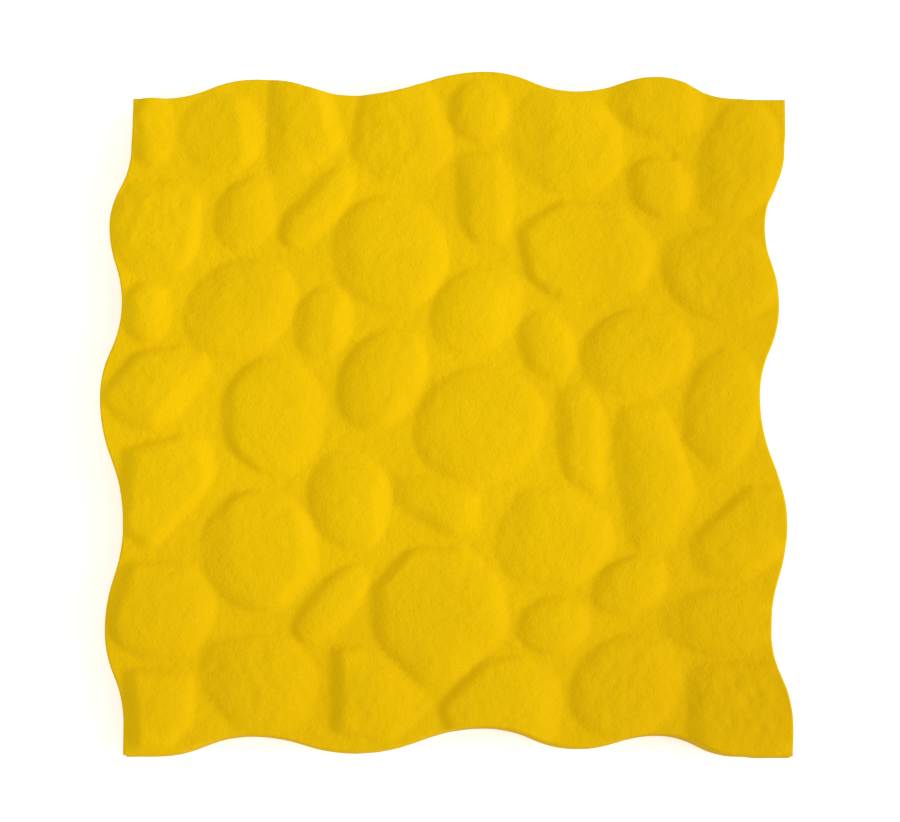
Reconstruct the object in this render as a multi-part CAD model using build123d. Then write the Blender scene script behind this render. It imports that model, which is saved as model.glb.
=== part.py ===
from build123d import *
import math
import os
from dataclasses import dataclass

# A pebble-faced concrete paving slab, cast face down in one mould as one piece.
# The slab lies flat with its pebbles up. The origin is on the underside, in the
# middle of its four corners, +X runs along the length and +Y along the width.

# Driving dimensions, in millimetres and degrees
SLAB_LENGTH = 300.0      # corner to corner along X, one laying module
SLAB_WIDTH = 300.0       # corner to corner along Y, one laying module
BED_THICKNESS = 25.0     # underside to the bed between the pebbles
PEBBLE_RISE = 5.0        # bed to the crown of the tallest pebble
FLANK_LEAN = 28.0        # how far the side of a pebble leans in from upright
DOME_SHOULDER = 0.30     # where a domed pebble's side turns into its crown, as a share of its rise
WAVE_DEPTH = 13.0        # how far the largest wave of an edge swells out
CORNER_LAND = 14.0       # straight stretch of an edge next to a corner
WALL_DRAFT = 2.0         # lean of the side walls, which lets the slab leave its mould

# One wave is used on all four edges, so that slabs laid side by side lock together.
# Each point is a place along the edge, as a share of half its length, and the swell
# there, as a share of WAVE_DEPTH. The two corner lands close it at both ends.
EDGE_WAVE = (
    (-0.62, 0.70),
    (-0.31, 0.12),
    (0.08, 1.00),
    (0.36, 0.29),
    (0.60, 0.76),
    (0.84, 0.04),
)

# The pebble schedule is drawn on a square of this side and spread over the slab.
DRAWING_SIDE = 300.0


@dataclass
class Pebble:
    """One pebble of the face: an oval or a rounded block on the bed, with a flat or a domed crown."""

    x: float                # middle of the outline, on the drawing square
    y: float
    length: float           # the long way of the outline
    width: float            # and across it
    turn: float             # the long way, in degrees from +X
    rise: float             # crown height, as a share of PEBBLE_RISE
    dome: bool = False      # a ball-shaped crown, where a worn pebble's is flat
    lead: float = 0.75      # radius of the leading end, as a share of half the width
    tail: float = 0.75      # radius of the trailing end
    block: bool = False     # a rounded block, with lead as its corners, and no oval
    lean: float = 0.0       # how far the top of a dome stands off the middle along X


@dataclass
class Cobble:
    """One pebble with straight sides between its rounded corners, where its neighbours crowd it."""

    corners: tuple          # before rounding, anticlockwise, on the drawing square
    rounding: float         # radius of every corner
    rise: float             # the rest as for a pebble
    dome: bool = False
    lean: float = 0.0


PEBBLES = (
    # along the back edge
    Pebble(-140, 134, 34, 21, 90, 0.70),
    Pebble(-108.3, 133, 39.5, 38, 0, 0.78),
    Cobble(((-88, 112), (-72, 112.5), (-53.5, 127), (-53.5, 142), (-61, 160), (-86.5, 160)), 6,
           0.90, dome=True, lean=-6),
    Cobble(((-50, 121), (-34, 109), (-14, 110), (0, 127), (-14, 158), (-44, 158)), 8, 0.90, dome=True),
    Pebble(9, 143.3, 30, 27.5, 90, 0.90, dome=True),
    Cobble(((23.5, 140), (24.5, 119), (42, 104.5), (65, 105.5), (80, 125), (64, 149), (33, 155)), 12, 0.70),
    Cobble(((66.5, 148), (77, 135), (91, 129.5), (109, 133), (113.5, 147), (108, 164), (73, 164)), 9, 0.74),
    Cobble(((108, 124), (109, 95), (125, 92.5), (140, 101), (147.5, 118), (146, 135), (138, 148.5),
            (122, 148.5)), 9, 0.68),
    # second course
    Cobble(((-160, 97), (-158, 78), (-148, 67.5), (-126, 67.5), (-117, 82), (-117, 104), (-126, 111.5),
            (-148, 111.5)), 8, 0.90, dome=True),
    Pebble(-96.5, 95.5, 36, 28, 62, 0.90, dome=True),
    Pebble(-64.3, 98.2, 46, 20, 50, 1.00, dome=True, lean=-6),
    Pebble(-31.5, 77.5, 55, 52.5, 118, 0.74),
    Cobble(((-1.5, 125), (-0.5, 94), (6, 81.5), (21, 80.5), (27, 106), (18, 124)), 6, 0.90, dome=True),
    Pebble(91.5, 108, 32, 27, -40, 0.76),
    Cobble(((25.5, 92), (31, 66), (45, 54.5), (82, 58.5), (92, 80), (74, 100.5), (45, 102)), 12, 0.74),
    Pebble(118.5, 68, 55, 44, -15, 0.76),
    # third course
    Pebble(-141, 50, 29, 24, 90, 0.90, dome=True, lean=-4),
    Pebble(-99, 52, 55, 43, 30, 0.80),
    Pebble(-61.5, 45.5, 35, 27, 75, 0.90, dome=True),
    Pebble(8.2, 51.5, 47, 37.5, 41, 0.90, dome=True),
    Pebble(39.8, 35.3, 33.5, 24.5, -66, 0.90, dome=True),
    Pebble(80.3, 32, 52, 41, 14, 0.74),
    # fourth course
    Cobble(((-163, 11), (-152, -1.5), (-138, -4), (-124, 3), (-112, 17), (-112.5, 29), (-124, 35.5),
            (-146, 32)), 7, 0.90, dome=True, lean=-6),
    Pebble(-83, 3, 55, 47.5, 95, 0.80),
    Pebble(-34.6, 19.8, 50.5, 37.5, 60, 1.00, dome=True, lean=-8),
    Pebble(9.5, -1, 61, 53.5, 20, 0.70),
    Cobble(((44.5, 17), (42, -6), (49, -27), (68.5, -36.5), (65.5, 4), (57.5, 17)), 3, 0.90, dome=True),
    Cobble(((71, 9), (69, -18), (77.5, -58), (96, -58), (108, -36), (100, -10), (93, 9)), 9, 0.76),
    Pebble(118.5, 5.5, 58, 35, 79, 0.70),
    # fifth course
    Cobble(((-153, -10), (-151, -50), (-138, -59), (-112, -30), (-106, -10), (-128, -3.5)), 6,
           0.95, dome=True, lean=-6),
    Pebble(-89.3, -58, 56, 53, 110, 0.74),
    Pebble(-49, -35, 46.5, 37, 105, 0.90, dome=True),
    Cobble(((-30, -21), (-29.5, -37), (-4, -52), (11, -50), (10, -31.5), (-12, -24.5)), 4, 0.90, dome=True),
    Cobble(((13.5, -55), (24, -72.5), (50, -75), (71, -60), (69, -43), (48, -29), (29, -28)), 12, 0.70),
    Cobble(((101.5, -55), (107, -69), (125, -72.5), (141, -64), (152, -48), (149, -28), (129, -28)), 7, 0.74),
    # sixth course
    Cobble(((-151, -62.5), (-158, -84), (-153, -101), (-138, -107), (-120, -106), (-109, -92),
            (-109, -76), (-119, -62.5)), 9, 1.00, dome=True, lean=-8),
    Pebble(-57, -82, 43.5, 20, 48, 1.00, dome=True, lean=-5),
    Cobble(((-40, -74), (-38, -98), (-16, -119.5), (-4, -119), (23, -95), (22, -72), (3, -56), (-22, -56)),
           10, 0.72),
    Pebble(42.7, -91, 34, 26, 12, 0.90, dome=True),
    Pebble(76.8, -73, 37, 25, 25, 0.90, dome=True),
    Pebble(117, -89.5, 50, 31, 0, 0.66),
    # along the front edge
    Cobble(((-152.5, -110.5), (-148, -147), (-130, -147), (-118, -135), (-118, -110.5)), 5,
           1.00, dome=True, lean=-8),
    Cobble(((-117, -99), (-116, -117), (-100, -138), (-80, -140), (-62.5, -131), (-61.5, -113),
            (-75, -96), (-95, -95)), 9, 0.90, dome=True),
    Cobble(((-59.3, -100), (-58.3, -139), (-27, -144), (-9, -128), (-38, -100.5)), 6,
           1.00, dome=True, lean=-6),
    Cobble(((-9, -127), (-3, -144), (42, -144), (47.5, -126), (44, -112), (28, -104), (12, -105.5)), 9, 0.76),
    Pebble(75, -118, 54, 45, 32, 0.74),
    Pebble(127, -128, 50, 43, 0, 0.70, lead=0.55, block=True),
)

SPARE = 1.0              # how far a cutting shape runs past what it cuts


def wave_edge(start, end, outward):
    """One edge from corner to corner: straight lands, and arcs from each crest to the next hollow."""
    along = (end - start).normalized()
    middle = (start + end) * 0.5
    half_edge = (end - start).length / 2
    crests = [
        middle + along * (place * half_edge) + outward * (swell * WAVE_DEPTH)
        for place, swell in EDGE_WAVE
    ]
    turns = [start + along * CORNER_LAND, *crests, end - along * CORNER_LAND]
    edges = [Line(start, turns[0]), Line(turns[-1], end)]
    for here, there in zip(turns, turns[1:]):
        halfway = (here + there) * 0.5
        edges.append(TangentArc(here, halfway, tangent=along))
        edges.append(TangentArc(there, halfway, tangent=-along))
    return edges


def wall_block(height):
    """The slab's outline carried up with draft to a height.

    Opposite edges swell the same way, so one slab's wave fits its neighbour's.
    """
    front_left = Vector(-SLAB_LENGTH / 2, -SLAB_WIDTH / 2)
    front_right = Vector(SLAB_LENGTH / 2, -SLAB_WIDTH / 2)
    back_right = Vector(SLAB_LENGTH / 2, SLAB_WIDTH / 2)
    back_left = Vector(-SLAB_LENGTH / 2, SLAB_WIDTH / 2)
    to_left = Vector(-1, 0)
    to_back = Vector(0, 1)
    edges = [
        *wave_edge(front_left, front_right, to_back),
        *wave_edge(front_right, back_right, to_left),
        *wave_edge(back_left, back_right, to_back),
        *wave_edge(front_left, back_left, to_left),
    ]
    return extrude(Face(Wire(edges)), height, taper=WALL_DRAFT)


def oval(length, width, lead, tail):
    """An egg of four arcs along X: two end arcs, and two side arcs that touch them both."""
    lead_gap = width / 2 - lead
    tail_gap = width / 2 - tail
    lead_middle = Vector(length / 2 - lead, 0)
    tail_middle = Vector(tail - length / 2, 0)
    # The widest place is where a side arc touches both ends: a root of a square in x.
    square = tail_gap - lead_gap
    slope = 2 * (lead_gap * tail_middle.X - tail_gap * lead_middle.X)
    level = tail_gap * (lead_middle.X**2 - lead_gap**2) - lead_gap * (tail_middle.X**2 - tail_gap**2)
    widest = 2 * level / (-slope + math.sqrt(slope**2 - 4 * square * level))
    drop = ((lead_middle.X - widest) ** 2 - lead_gap**2) / (2 * lead_gap)
    side_middle = Vector(widest, -drop)
    lead_touch = lead_middle + (lead_middle - side_middle).normalized() * lead
    tail_touch = tail_middle + (tail_middle - side_middle).normalized() * tail
    lead_below = Vector(lead_touch.X, -lead_touch.Y)
    tail_below = Vector(tail_touch.X, -tail_touch.Y)
    arcs = [
        ThreePointArc(lead_touch, (widest, width / 2), tail_touch),
        ThreePointArc(tail_touch, (-length / 2, 0), tail_below),
        ThreePointArc(tail_below, (widest, -width / 2), lead_below),
        ThreePointArc(lead_below, (length / 2, 0), lead_touch),
    ]
    return Face(Wire(arcs))


def spread_over(x, y):
    """A place on the drawing square, carried to the slab."""
    return Vector(x * SLAB_LENGTH / DRAWING_SIDE, y * SLAB_WIDTH / DRAWING_SIDE)


def pebble_flank(pebble, size, grow, height):
    """A pebble's leaning side round its middle, from an outline wider by grow, and half its length."""
    length = pebble.length * size + 2 * grow
    width = pebble.width * size + 2 * grow
    lead = pebble.lead * pebble.width * size / 2 + grow
    tail = pebble.tail * pebble.width * size / 2 + grow
    if pebble.block:
        outline = RectangleRounded(length, width, lead)
    else:
        outline = oval(length, width, lead, tail)
    flank = extrude(Rot(0, 0, pebble.turn) * outline, height, taper=FLANK_LEAN)
    return flank, pebble.length * size / 2


def cobble_flank(cobble, size, grow, height):
    """The same for a cobble: straight sides that lean in, with the edges between them rounded."""
    middle = cobble_middle(cobble)
    corners = [(Vector(x, y) - middle) * size for x, y in cobble.corners]
    outline = make_face(Polyline(*corners, close=True))
    outline = offset(outline, grow, kind=Kind.INTERSECTION)
    flank = extrude(outline, height, taper=FLANK_LEAN)
    upright = flank.edges().filter_by(Plane.XY, reverse=True)
    return fillet(upright, cobble.rounding * size), max(corner.length for corner in corners)


def cobble_middle(cobble):
    """The mean of a cobble's corners, on the drawing square."""
    count = len(cobble.corners)
    return Vector(sum(x for x, y in cobble.corners) / count, sum(y for x, y in cobble.corners) / count)


def cast_pebble(pebble):
    """A pebble standing out of the bed: a flank that leans in, under a flat or a ball-shaped crown."""
    size = min(SLAB_LENGTH, SLAB_WIDTH) / DRAWING_SIDE
    rise = pebble.rise * PEBBLE_RISE
    # The flank starts a little under the bed, where its outline is wider by its lean.
    grow = SPARE * math.tan(math.radians(FLANK_LEAN))
    height = rise + 2 * SPARE if pebble.dome else rise + SPARE
    if isinstance(pebble, Cobble):
        place = cobble_middle(pebble)
        flank, half_length = cobble_flank(pebble, size, grow, height)
    else:
        place = Vector(pebble.x, pebble.y)
        flank, half_length = pebble_flank(pebble, size, grow, height)
    middle = Pos(spread_over(place.X, place.Y)) * Pos(0, 0, BED_THICKNESS)
    flank = Pos(0, 0, -SPARE) * flank
    if not pebble.dome:
        return middle * flank
    # The crown's ball drops from its top to the shoulder by the end of the outline furthest from it.
    reach = half_length + abs(pebble.lean) * size
    drop = rise * (1 - DOME_SHOULDER)
    radius = (reach**2 + drop**2) / (2 * drop)
    ball = Pos(pebble.lean * size, 0, rise - radius) * Rot(90, 0, 0) * Sphere(radius)
    return middle * (flank & ball)


def mould_face():
    """The mould's face plate: a sheet over the bed with a hollow for every pebble."""
    sheet = Box(
        2 * SLAB_LENGTH,
        2 * SLAB_WIDTH,
        PEBBLE_RISE + 2 * SPARE,
        align=(Align.CENTER, Align.CENTER, Align.MIN),
    )
    sheet = Pos(0, 0, BED_THICKNESS) * sheet
    return sheet - [cast_pebble(pebble) for pebble in PEBBLES]


slab = wall_block(BED_THICKNESS + PEBBLE_RISE + SPARE) - mould_face()
slab.label = "paving_slab"

os.makedirs("parts", exist_ok=True)
export_step(slab, "parts/paving_slab.step")
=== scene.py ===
import math
import bmesh
import bpy
import numpy as np
from mathutils import Matrix, Vector, noise


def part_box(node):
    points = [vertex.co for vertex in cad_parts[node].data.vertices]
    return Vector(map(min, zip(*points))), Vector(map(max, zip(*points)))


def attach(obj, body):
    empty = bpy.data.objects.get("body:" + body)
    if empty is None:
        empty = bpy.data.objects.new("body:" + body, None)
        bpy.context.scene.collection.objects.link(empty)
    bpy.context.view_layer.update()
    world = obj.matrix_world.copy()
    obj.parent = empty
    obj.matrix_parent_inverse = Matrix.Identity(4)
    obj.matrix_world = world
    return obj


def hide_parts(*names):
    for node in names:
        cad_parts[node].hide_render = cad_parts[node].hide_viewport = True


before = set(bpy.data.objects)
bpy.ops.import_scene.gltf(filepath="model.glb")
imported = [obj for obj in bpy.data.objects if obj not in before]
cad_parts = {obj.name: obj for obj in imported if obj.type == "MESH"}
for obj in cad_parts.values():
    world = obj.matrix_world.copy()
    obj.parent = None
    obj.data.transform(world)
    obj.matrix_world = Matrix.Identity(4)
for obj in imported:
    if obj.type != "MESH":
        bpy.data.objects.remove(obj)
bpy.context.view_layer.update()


# The slab: one block of yellow concrete, poured face down into a mould and shaken out whole.
# Its face is a bed of river pebbles in relief, its wavy edges take the next slab's, and its
# underside was the open top of the mould, floated flat.
cast_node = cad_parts["paving_slab"]
slab_low, slab_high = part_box("paving_slab")
half_length = slab_high.x           # the right edge and the front edge have no swell outwards,
half_width = -slab_low.y            # so there the box ends at the corners
outline_height = 0.025              # the bed between the pebbles, where the face meets the walls
face_cells = 270                    # cells along one side of the face, about 1.1 mm each
samples_per_cell = 2                # the relief is felt twice as finely as it is kept
wall_cuts = 12                      # rings of vertices between the face and the underside
far_out = 1.0                       # where a ray towards the slab starts
corner_clear = 0.0002               # rays stay this far from a corner, to meet its wall
corner_land = 0.005                 # a place on the straight stretch beside a corner
foot_height = 0.0005                # where the foot of the walls is felt, clear of the underside
touching_rise = 0.0015              # pebbles that touch part this far above the bed
foot_steps = 5                      # samples from there down to their feet
shoulder_radius = 0.004             # rounding of the pebbles' shoulders, worn by rolling in a river
crown_radius = 0.032                # and the wider swell of their crowns
small_pebble = 0.0004               # area in plan, in square metres, up to which a pebble is small
big_pebble = 0.0015                 # and from which it is big
small_swell = 0.20                  # how far the swell wins over the shoulders on a small pebble
big_swell = 0.75                    # and on a big one
soft_passes = 4                     # how often the relief is evened out, for the mould's soft rubber
arris_width = 0.0008                # the rubbed arris round the top and the foot of the walls
arris_steps = 2
skin_relief = 0.00026               # unevenness of the cast skin
skin_wave = 0.006                   # the size of its lumps
skin_level = 1.0                    # how far it lies below the mould's face, in its own unevenness
skin_fade = 1.0                     # how fast its finer lumps weaken
lump_relief = 0.00070               # the same for the coarser skin of the rough pebbles
lump_wave = 0.010
lump_level = 0.6
lump_fade = 0.8
lump_shift = Vector((7, 3, 5))      # takes those lumps from another part of the pattern
finer_by = 2.0                      # each layer of lumps is finer than the last by this
lump_layers = 3
metre = 1000                        # in the millimetres of the lists that follow
# Flats that the river wore on the pebbles, in millimetres and degrees: the pebble's middle, then for
# each flat the way it faces and how far from the middle it leaves the crown and meets the bed.
worn_flats = (
    (-140, 132, (0, -2, 11), (190, 4, 11)),
    (-109, 133, (10, 9, 20.5), (185, -8, 20)),
    (-71, 131, (183, 8, 17), (15, 10, 18)),
    (-29, 131, (14, 16, 25), (215, 16, 24)),
    (9, 143, (175, 7, 14), (0, 8, 14)),
    (51, 128, (8, 17, 24), (178, 8, 27.5)),
    (90, 143, (160, 11, 23), (0, 12, 22)),
    (127, 120, (185, 9, 19), (0, 15, 20)),
    (-139, 90, (-5, 15, 22), (160, 14, 21)),
    (-97, 96, (170, 5, 15), (10, 4, 14)),
    (-65, 98, (137, 3.5, 9), (-43, 5, 10)),
    (12, 103, (183, 6, 13), (5, 5, 14)),
    (-141, 50, (0, 1, 11), (180, 5, 12)),
    (-99, 52, (168, 9, 27), (-20, 12, 26)),
    (-61, 45, (175, 5, 14), (-3, 4, 13)),
    (-31, 78, (188, 15, 27)),
    (-35, 20, (-25, 8, 19)),
    (8, 52, (165, 14, 22), (-10, 6, 21)),
    (40, 36, (190, 5, 14), (0, 7, 13)),
    (59, 79, (190, 26, 31), (143, 26, 31), (120, 23, 26.5), (-5, 24, 31)),
    (91, 108, (188, 7, 14), (-5, 8, 15)),
    (118, 68, (187, 18, 26), (215, 21, 26)),
    (-137, 16, (-36, 7, 17), (125, 14, 19)),
    (9, -1, (165, 22, 29), (-15, 24, 31)),
    (-84, 3, (182, 16, 23), (-8, 11, 24)),
    (80, 32, (187, 16, 25), (8, 21, 27)),
    (55, -6, (180, 4, 11), (0, 5, 11)),
    (87, -24, (188, 6, 16), (-25, 12, 22)),
    (118, 6, (182, 11, 17.5), (220, 16, 22)),
    (-131, -28, (178, 15, 21), (105, 17, 21), (12, 14, 23), (-45, 15, 20)),
    (-89, -58, (-40, 20, 26), (5, 18, 26), (140, 22, 27), (183, 12, 27)),
    (-49, -35, (-3, 9, 18), (182, 14, 19)),
    (-11, -37, (180, 9, 18), (242, 7, 11), (-3, 12, 21)),
    (43, -51, (170, 10, 28), (0, 22, 27)),
    (127, -50, (135, 13, 18), (195, 17, 24)),
    (-57, -82, (140, 5, 10), (-40, 4, 11)),
    (-133, -83, (162, 16, 22.5)),
    (-9, -87, (140, 26, 31), (183, 23, 30), (215, 25, 29), (5, 25, 31)),
    (42, -91, (178, 8, 16), (0, 8, 17)),
    (77, -73, (160, 7, 16), (10, 10, 17)),
    (116, -89, (183, 11, 24.5)),
    (-135, -128, (184, 7, 14)),
    (-90, -117, (172, 12, 26), (-15, 13, 27)),
    (-40, -121, (180, 10.5, 17), (-50, 18, 24)),
    (20, -122, (135, 15, 21), (3, 13, 26)),
    (75, -118, (142, 18, 25), (-3, 12, 25)),
    (127, -127, (180, 18, 25)),
)
# Flats that stay steep whatever the pebble's size: the pebble's middle and the way the flat faces.
steep_flats = (
    (-109, 133, 10), (-71, 131, 15), (-139, 90, -5), (-61, 45, -3), (-35, 20, -25), (-137, 16, -36),
    (-137, 16, 125), (-84, 3, 182), (59, 79, 143), (59, 79, 190), (-131, -28, 178), (-131, -28, 105),
    (-131, -28, -45), (-49, -35, -3), (-89, -58, -40), (-89, -58, 5), (-89, -58, 140), (127, -50, 135),
    (-133, -83, 162), (-9, -87, 140), (-135, -128, 184), (-40, -121, 180), (20, -122, 135),
)
# Rough pebbles, in millimetres: the middle, how far the roughness reaches and its strength.
rough_pebbles = (
    (-138, 90, 24, 1.0), (-140, 134, 14, 0.6), (-74, 138, 20, 0.7), (-33, 130, 22, 0.7),
    (122, 118, 24, 0.6), (118, 68, 26, 0.6), (126, -50, 24, 0.5), (127, -127, 26, 0.9),
    (75, -118, 28, 0.8), (-92, -117, 28, 0.8), (-38, -122, 22, 0.7), (58, 78, 28, 0.4),
    (48, 128, 26, 0.4),
)
# Pits that air left in the face, in millimetres: the middle, the radius and the depth.
face_pits = (
    (97, 122.5, 2.6, 0.9), (44, 59, 2.2, 0.5), (5, -55, 2.2, 0.6), (11, -62, 2.2, 0.5),
    (-31, 114, 1.8, 0.5), (65, 86, 2.0, 0.4), (-37, 137, 1.6, 0.4), (-120, 47, 1.6, 0.4),
)


def meet(start, direction):
    """Where a ray from outside first meets the slab."""
    return cast_node.ray_cast(start, direction)[1]


def outline_at(height, cells):
    """The four walls at a height: a place for every line of the face grid on each side."""
    side = meet((far_out, -half_width + corner_land, height), (-1, 0, 0)).x
    inset = half_length - side
    across = np.linspace(-half_length + inset, half_length - inset, cells + 1)
    along = np.linspace(-half_width + inset, half_width - inset, cells + 1)
    across_rays = np.clip(across, across[0] + corner_clear, across[-1] - corner_clear)
    along_rays = np.clip(along, along[0] + corner_clear, along[-1] - corner_clear)
    left = np.array([meet((-far_out, y, height), (1, 0, 0)).x for y in along_rays])
    right = np.array([meet((far_out, y, height), (-1, 0, 0)).x for y in along_rays])
    front = np.array([meet((x, -far_out, height), (0, 1, 0)).y for x in across_rays])
    back = np.array([meet((x, far_out, height), (0, -1, 0)).y for x in across_rays])
    return across, along, left, right, front, back


def plan_at(height, cells):
    """The face grid's places in plan: a square between the corners, drawn out to the wavy walls."""
    across, along, left, right, front, back = outline_at(height, cells)
    share = np.linspace(0, 1, cells + 1)
    u = share[:, None]
    v = share[None, :]
    x = across[:, None] + (1 - u) * (left - across[0])[None, :] + u * (right - across[-1])[None, :]
    y = along[None, :] + (1 - v) * (front - along[0])[:, None] + v * (back - along[-1])[:, None]
    return x, y


def rolled_smooth(heights, cell, radius):
    """Round the shoulders of a relief by a bowl of this radius that slides along inside it."""
    reach = int(radius / cell)
    rows, columns = heights.shape
    bowl = [(k + reach, (k * cell) ** 2 / (2 * radius)) for k in range(-reach, reach + 1)]
    for pick, sign in ((np.minimum, 1), (np.maximum, -1)):
        wide = np.pad(heights, ((reach, reach), (0, 0)), mode="edge")
        heights = pick.reduce([wide[k:k + rows] + sign * rise for k, rise in bowl])
        wide = np.pad(heights, ((0, 0), (reach, reach)), mode="edge")
        heights = pick.reduce([wide[:, k:k + columns] + sign * rise for k, rise in bowl])
    return heights


def evened_out(heights, passes):
    """Soften a relief: each place takes a share of its neighbours' heights."""
    for _ in range(passes):
        wide = np.pad(heights, 1, mode="edge")
        heights = (wide[:-2, 1:-1] + 2 * wide[1:-1, 1:-1] + wide[2:, 1:-1]) / 4
        wide = np.pad(heights, 1, mode="edge")
        heights = (wide[1:-1, :-2] + 2 * wide[1:-1, 1:-1] + wide[1:-1, 2:]) / 4
    return heights


def widened(numbers):
    """Every place takes the largest of its own number and its four neighbours'."""
    wide = np.pad(numbers, 1)
    beside = (wide[2:, 1:-1], wide[:-2, 1:-1], wide[1:-1, 2:], wide[1:-1, :-2])
    return np.maximum.reduce([numbers, *beside])


sample_cells = face_cells * samples_per_cell
plan_x, plan_y = plan_at(outline_height, sample_cells)
pull_in = 1 - corner_clear / half_length
face_heights = np.array([
    [meet((x * pull_in, y * pull_in, far_out), (0, 0, -1)).z for x, y in zip(line_x, line_y)]
    for line_x, line_y in zip(plan_x.tolist(), plan_y.tolist())
])
sample_size = 2 * half_length / sample_cells
# Every place on a pebble takes the pebble's number, which is the largest of its places' numbers.
place_number = np.arange(1, face_heights.size + 1).reshape(face_heights.shape)
pebble_at = np.where(face_heights > outline_height + touching_rise, place_number, 0)
settled = False
while not settled:
    spread = np.where(pebble_at > 0, widened(pebble_at), 0)
    settled = np.array_equal(spread, pebble_at)
    pebble_at = spread
for _ in range(foot_steps):
    open_flank = (pebble_at == 0) & (face_heights > outline_height)
    pebble_at = np.where(open_flank, widened(pebble_at), pebble_at)
pebble_area = np.bincount(pebble_at.ravel())[pebble_at] * sample_size**2
swell = np.interp(pebble_area, (small_pebble, big_pebble), (small_swell, big_swell))
for middle_x, middle_y, *flats in worn_flats:
    from_x = plan_x - middle_x / metre
    from_y = plan_y - middle_y / metre
    middle = np.unravel_index(np.hypot(from_x, from_y).argmin(), from_x.shape)
    own = pebble_at == pebble_at[middle]
    crown = face_heights[middle]
    for facing, start, foot in flats:
        way = math.radians(facing)
        out = (from_x * math.cos(way) + from_y * math.sin(way)) * metre
        flat = crown - (crown - outline_height) * (out - start) / (foot - start)
        cut = np.maximum(np.minimum(face_heights, flat), outline_height)
        face_heights = np.where(own, cut, face_heights)
        if (middle_x, middle_y, facing) in steep_flats:
            near = own * np.clip(out / start, 0, 1)
            swell = swell + near * (small_swell - swell)
shoulders = rolled_smooth(face_heights, sample_size, shoulder_radius)
swells = rolled_smooth(face_heights, sample_size, crown_radius)
face_heights = evened_out(shoulders + swell * (swells - shoulders), soft_passes)
plan_x = plan_x[::samples_per_cell, ::samples_per_cell]
plan_y = plan_y[::samples_per_cell, ::samples_per_cell]
face_heights = face_heights[::samples_per_cell, ::samples_per_cell]
roughness = np.zeros_like(face_heights)
for middle_x, middle_y, reach, strength in rough_pebbles:
    distance = np.hypot(plan_x * metre - middle_x, plan_y * metre - middle_y)
    full_to_half_way = np.clip(2 - 2 * distance / reach, 0, 1)
    roughness = np.maximum(roughness, strength * full_to_half_way)
for i in range(face_cells + 1):
    for j in range(face_cells + 1):
        place = Vector((plan_x[i, j], plan_y[i, j], 0))
        uneven = noise.fractal(place / skin_wave, skin_fade, finer_by, lump_layers)
        face_heights[i, j] += skin_relief * (uneven - skin_level)
        if roughness[i, j] > 0:
            lump_place = place / lump_wave + lump_shift
            uneven = noise.fractal(lump_place, lump_fade, finer_by, lump_layers)
            face_heights[i, j] += lump_relief * roughness[i, j] * (uneven - lump_level)
for middle_x, middle_y, radius, depth in face_pits:
    distance = np.hypot(plan_x * metre - middle_x, plan_y * metre - middle_y)
    face_heights -= depth / metre * np.clip(1 - (distance / radius) ** 2, 0, 1)
face_heights = np.minimum(face_heights, slab_high.z)

# The grid starts from -1 to 1 both ways, and each of its vertices moves to its place on the face.
# Its rim is then drawn down to the foot of the walls, closed underneath and rubbed off.
foot_x, foot_y = plan_at(foot_height, face_cells)
slab_bm = bmesh.new()
bmesh.ops.create_grid(slab_bm, x_segments=face_cells, y_segments=face_cells, size=1)
grid_line = {}
for vert in slab_bm.verts:
    i = round((vert.co.x + 1) / 2 * face_cells)
    j = round((vert.co.y + 1) / 2 * face_cells)
    grid_line[vert] = (i, j)
    vert.co = (plan_x[i, j], plan_y[i, j], face_heights[i, j])
rim = [edge for edge in slab_bm.edges if edge.is_boundary]
rim_lines = {}
for edge in rim:
    for vert in edge.verts:
        rim_lines[tuple(vert.co)] = grid_line[vert]
walls = bmesh.ops.extrude_edge_only(slab_bm, edges=rim)["geom"]
foot_verts = [part for part in walls if isinstance(part, bmesh.types.BMVert)]
foot_edges = [part for part in walls if isinstance(part, bmesh.types.BMEdge) and part.is_boundary]
for vert in foot_verts:
    i, j = rim_lines[tuple(vert.co)]
    vert.co = (foot_x[i, j], foot_y[i, j], 0)
bmesh.ops.contextual_create(slab_bm, geom=foot_edges)
upright = [
    edge for edge in slab_bm.edges
    if (edge.verts[0].co.z == 0) != (edge.verts[1].co.z == 0)
]
cut_walls = bmesh.ops.subdivide_edges(slab_bm, edges=upright, cuts=wall_cuts, use_grid_fill=True)
bmesh.ops.recalc_face_normals(slab_bm, faces=slab_bm.faces)
slab_bm.normal_update()
for vert in {part for part in cut_walls["geom_inner"] if isinstance(part, bmesh.types.BMVert)}:
    uneven = noise.fractal(vert.co / skin_wave, skin_fade, finer_by, lump_layers)
    vert.co -= vert.normal * skin_relief * (skin_level + uneven)
for arris in (rim, foot_edges):
    bmesh.ops.bevel(
        slab_bm,
        geom=arris,
        affect="EDGES",
        offset=arris_width,
        offset_type="OFFSET",
        segments=arris_steps,
        profile=0.5,
        material=-1,
        clamp_overlap=True,
    )
underside = max(slab_bm.faces, key=lambda face: len(face.verts))
for face in slab_bm.faces:
    face.smooth = face != underside
slab_mesh = bpy.data.meshes.new("cast_slab")
slab_bm.to_mesh(slab_mesh)
slab_bm.free()
slab = bpy.data.objects.new("cast_slab", slab_mesh)
bpy.context.scene.collection.objects.link(slab)


def sheet_colour(code):
    """A colour written as sRGB hex, in the linear values that the shaders take."""
    channels = [int(code[k:k + 2], 16) / 255 for k in (1, 3, 5)]
    linear = [c / 12.92 if c <= 0.04045 else ((c + 0.055) / 1.055) ** 2.4 for c in channels]
    return (*linear, 1.0)


def add_node(tree, kind, values=None, links=None, **settings):
    """Add a node to a material or the world, with its settings, socket values and links."""
    added = tree.nodes.new(kind)
    for name, value in settings.items():
        setattr(added, name, value)
    for socket, value in (values or {}).items():
        added.inputs[socket].default_value = value
    for socket, source in (links or {}).items():
        tree.links.new(source, added.inputs[socket])
    return added


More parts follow.
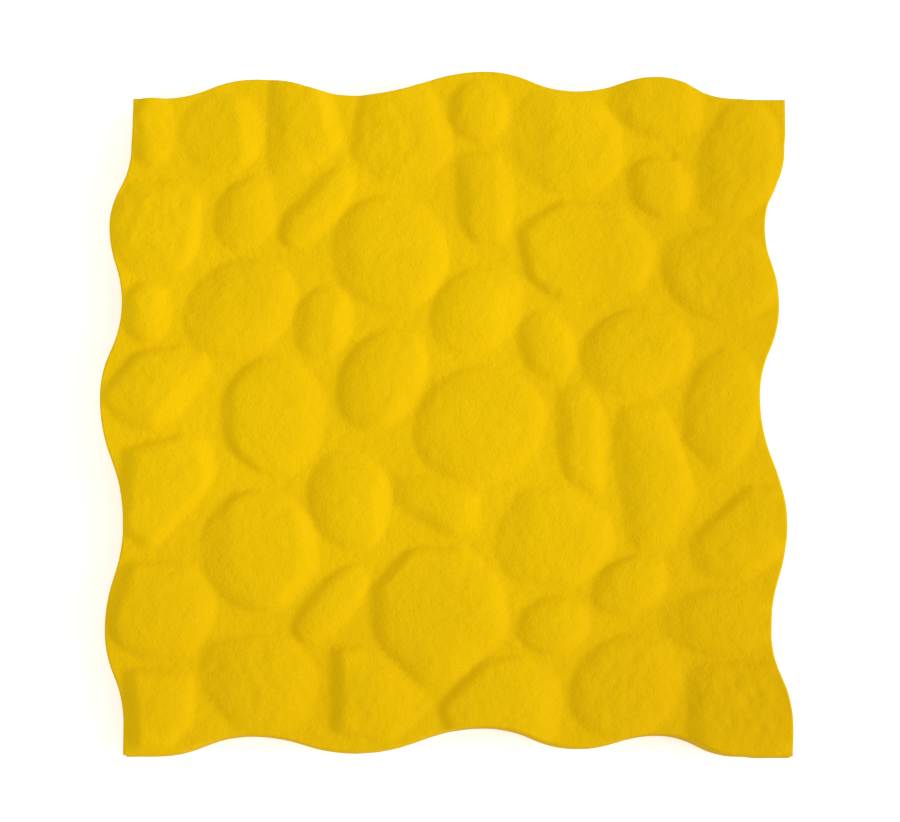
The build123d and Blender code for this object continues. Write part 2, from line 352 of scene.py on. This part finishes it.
# Cast concrete with yellow iron oxide right through it: a matt skin that took the mould's
# smooth face, a little cloudy where the pigment settled, with painted shade that darkens it towards
# the right and the front where the light falls off, and sand showing as a faint grain.
concrete = bpy.data.materials.new("yellow_cast_concrete")
concrete.use_nodes = True
tree = concrete.node_tree
tree.nodes.clear()
cloud_size = 0.045                  # patches of settled pigment
painted_shade_start = 0.02                  # the painted shade sets in this far from the middle
painted_shade_end = 0.15                    # and is complete here
painted_shade_strength = 0.45                  # how much of the painted shade each of the two sides gets
mottle_size = 0.0035                # dimples of the skin
sand_size = 0.0011                  # coarser than the half-millimetre sand, so that it shows
sand_share = 0.35                   # how much the sand tints the pigment
bubble_spacing = 0.008              # cells of the air pits' pattern
bubble_share = 0.25                 # cells that hold a pit
bubble_rim = 0.18                   # a pit's radius at its mouth, as a share of the spacing
bubble_floor = 0.08                 # and at its bottom
wall_top = 0.0245                   # the pits stay below the face
where = add_node(tree, "ShaderNodeTexCoord").outputs["Object"]
clouds = add_node(
    tree, "ShaderNodeTexNoise",
    values={"Scale": 1 / cloud_size, "Detail": 4.0, "Roughness": 0.55},
    links={"Vector": where},
)
sand = add_node(
    tree, "ShaderNodeTexNoise",
    values={"Scale": 1 / sand_size, "Detail": 2.0, "Roughness": 0.6},
    links={"Vector": where},
)
tint = add_node(
    tree, "ShaderNodeMath",
    operation="MULTIPLY_ADD",
    values={1: sand_share},
    links={0: sand.outputs[0], 2: clouds.outputs[0]},
)
pigment = add_node(tree, "ShaderNodeValToRGB", links={"Fac": tint.outputs[0]})
pigment.color_ramp.elements[0].position = 0.45
pigment.color_ramp.elements[0].color = sheet_colour("#E8BC00")
pigment.color_ramp.elements[1].position = 0.90
pigment.color_ramp.elements[1].color = sheet_colour("#F0C400")
# Painted shade: the colour turns a deeper yellow towards the right and the front, standing in for the
# light falling off there.
axes = add_node(tree, "ShaderNodeSeparateXYZ", links={"Vector": where})
painted_shade_right = add_node(
    tree, "ShaderNodeMapRange",
    interpolation_type="SMOOTHSTEP",
    values={"From Min": painted_shade_start, "From Max": painted_shade_end},
    links={"Value": axes.outputs["X"]},
)
painted_shade_front = add_node(
    tree, "ShaderNodeMapRange",
    interpolation_type="SMOOTHSTEP",
    values={"From Min": -painted_shade_start, "From Max": -painted_shade_end},
    links={"Value": axes.outputs["Y"]},
)
painted_shade_amount = add_node(
    tree, "ShaderNodeMath",
    operation="ADD",
    links={0: painted_shade_right.outputs["Result"], 1: painted_shade_front.outputs["Result"]},
)
painted_shade_share = add_node(
    tree, "ShaderNodeMath",
    operation="MULTIPLY",
    values={1: painted_shade_strength},
    links={0: painted_shade_amount.outputs[0]},
)
# This node mixes the painted shade's deeper yellow into the pigment. It has sockets of the same names
# for numbers and colours, so they go by their places.
pigment_and_painted_shade = add_node(
    tree, "ShaderNodeMix",
    data_type="RGBA",
    values={7: sheet_colour("#DDAE00")},
    links={0: painted_shade_share.outputs[0], 6: pigment.outputs["Color"]},
)
mottle = add_node(
    tree, "ShaderNodeTexNoise",
    values={"Scale": 1 / mottle_size, "Detail": 2.0, "Roughness": 0.6},
    links={"Vector": where},
)
mottled = add_node(
    tree, "ShaderNodeBump",
    values={"Strength": 1.0, "Distance": 0.0005},
    links={"Height": mottle.outputs[0]},
)
grain = add_node(
    tree, "ShaderNodeBump",
    values={"Strength": 0.8, "Distance": 0.0003},
    links={"Height": sand.outputs[0], "Normal": mottled.outputs["Normal"]},
)
# Air pits in the walls and the underside, which were not pressed against the mould's face: a
# cell of the pattern in four holds one, two to three millimetres across.
bubbles = add_node(
    tree, "ShaderNodeTexVoronoi",
    values={"Scale": 1 / bubble_spacing},
    links={"Vector": where},
)
bubble_chance = add_node(
    tree, "ShaderNodeSeparateColor",
    links={"Color": bubbles.outputs["Color"]},
)
bubble_cell = add_node(
    tree, "ShaderNodeMath",
    operation="LESS_THAN",
    values={1: bubble_share},
    links={0: bubble_chance.outputs[0]},
)
below_face = add_node(
    tree, "ShaderNodeMath",
    operation="LESS_THAN",
    values={1: wall_top},
    links={0: axes.outputs["Z"]},
)
bubble_here = add_node(
    tree, "ShaderNodeMath",
    operation="MULTIPLY",
    links={0: bubble_cell.outputs[0], 1: below_face.outputs[0]},
)
bubble_edge = add_node(
    tree, "ShaderNodeMapRange",
    interpolation_type="SMOOTHSTEP",
    values={"From Min": bubble_rim, "From Max": bubble_floor},
    links={"Value": bubbles.outputs["Distance"], "To Max": bubble_here.outputs[0]},
)
pitted = add_node(
    tree, "ShaderNodeBump",
    invert=True,
    values={"Strength": 1.0, "Distance": 0.0008},
    links={"Height": bubble_edge.outputs["Result"], "Normal": grain.outputs["Normal"]},
)
# The dimples, where the cement's fines gathered, are a little less matt than the rest.
gloss = add_node(
    tree, "ShaderNodeMapRange",
    values={"From Min": 0.3, "From Max": 0.7, "To Min": 0.78, "To Max": 0.92},
    links={"Value": mottle.outputs[0]},
)
skin = add_node(
    tree, "ShaderNodeBsdfPrincipled",
    values={"IOR": 1.5, "Specular IOR Level": 0.06},
    links={
        "Base Color": pigment_and_painted_shade.outputs[2],
        "Roughness": gloss.outputs["Result"],
        "Normal": pitted.outputs["Normal"],
    },
)
add_node(tree, "ShaderNodeOutputMaterial", links={"Surface": skin.outputs["BSDF"]})
slab.data.materials.append(concrete)
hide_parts("paving_slab")
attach(slab, "root")


# The floor: a wide sheet of pale paper that the slab lies on. It shows white to the camera and
# keeps the slab's soft shadow.
floor_half = 3.0
paper_glow = 0.42                   # lifts the paper to white where it is seen


def seen_rays(tree):
    """Which rays show a surface to the eye: straight, in gloss or through glass."""
    ray = add_node(tree, "ShaderNodeLightPath")
    in_gloss = add_node(
        tree, "ShaderNodeMath",
        operation="MAXIMUM",
        links={0: ray.outputs["Is Camera Ray"], 1: ray.outputs["Is Glossy Ray"]},
    )
    in_glass = add_node(
        tree, "ShaderNodeMath",
        operation="MAXIMUM",
        links={0: in_gloss.outputs[0], 1: ray.outputs["Is Transmission Ray"]},
    )
    return in_glass.outputs[0]


floor_bm = bmesh.new()
bmesh.ops.create_grid(floor_bm, x_segments=1, y_segments=1, size=floor_half)
floor_mesh = bpy.data.meshes.new("floor")
floor_bm.to_mesh(floor_mesh)
floor_bm.free()
floor = bpy.data.objects.new("floor", floor_mesh)
bpy.context.scene.collection.objects.link(floor)
# Matt white paper: no gloss and no grain that shows from this far.
paper = bpy.data.materials.new("white_paper")
paper.use_nodes = True
tree = paper.node_tree
tree.nodes.clear()
lift = add_node(
    tree, "ShaderNodeMath",
    operation="MULTIPLY",
    values={1: paper_glow},
    links={0: seen_rays(tree)},
)
matt = add_node(tree, "ShaderNodeBsdfDiffuse", values={"Color": sheet_colour("#F4F4F4")})
glow = add_node(tree, "ShaderNodeEmission", links={"Strength": lift.outputs[0]})
both = add_node(tree, "ShaderNodeAddShader", links={0: matt.outputs[0], 1: glow.outputs[0]})
add_node(tree, "ShaderNodeOutputMaterial", links={"Surface": both.outputs[0]})
floor.data.materials.append(paper)


# The light: a white room all round, which shows white and lights a little less, and a low soft
# lamp to the right that brings out the relief.
room_light = 0.77
world = bpy.data.worlds.new("white_room")
bpy.context.scene.world = world
world.use_nodes = True
tree = world.node_tree
tree.nodes.clear()
room_lift = add_node(
    tree, "ShaderNodeMath",
    operation="MULTIPLY_ADD",
    values={1: 1 - room_light, 2: room_light},
    links={0: seen_rays(tree)},
)
room = add_node(
    tree, "ShaderNodeBackground",
    values={"Color": sheet_colour("#FFFFFF")},
    links={"Strength": room_lift.outputs[0]},
)
add_node(tree, "ShaderNodeOutputWorld", links={"Surface": room.outputs["Background"]})
low_lamp = bpy.data.lights.new("low_lamp", "SUN")
low_lamp.energy = 1.4
low_lamp.angle = math.radians(30)
low_lamp_object = bpy.data.objects.new("low_lamp", low_lamp)
low_lamp_place = Vector((1.5, -0.12, 0.87))
low_lamp_turn = (-low_lamp_place).to_track_quat("-Z", "Y").to_matrix().to_4x4()
low_lamp_object.matrix_world = Matrix.Translation(low_lamp_place) @ low_lamp_turn
bpy.context.scene.collection.objects.link(low_lamp_object)


# The camera: high above the slab and a little to its front, with a long lens, as the slab was
# photographed.
camera = bpy.data.cameras.new("camera")
camera.sensor_width = 36
camera.lens = 116.2
camera_tilt = math.radians(7)
camera_roll = math.radians(0.12)
camera_distance = 1.311
camera_aim = Vector((-0.0039, 0.0053, 0.025))
camera_back = Vector((0, -math.sin(camera_tilt), math.cos(camera_tilt)))
camera_object = bpy.data.objects.new("camera", camera)
camera_object.matrix_world = (
    Matrix.Translation(camera_aim + camera_distance * camera_back)
    @ Matrix.Rotation(camera_tilt, 4, "X")
    @ Matrix.Rotation(camera_roll, 4, "Z")
)
bpy.context.scene.collection.objects.link(camera_object)
bpy.context.scene.camera = camera_object
bpy.context.scene.view_settings.view_transform = "Standard"
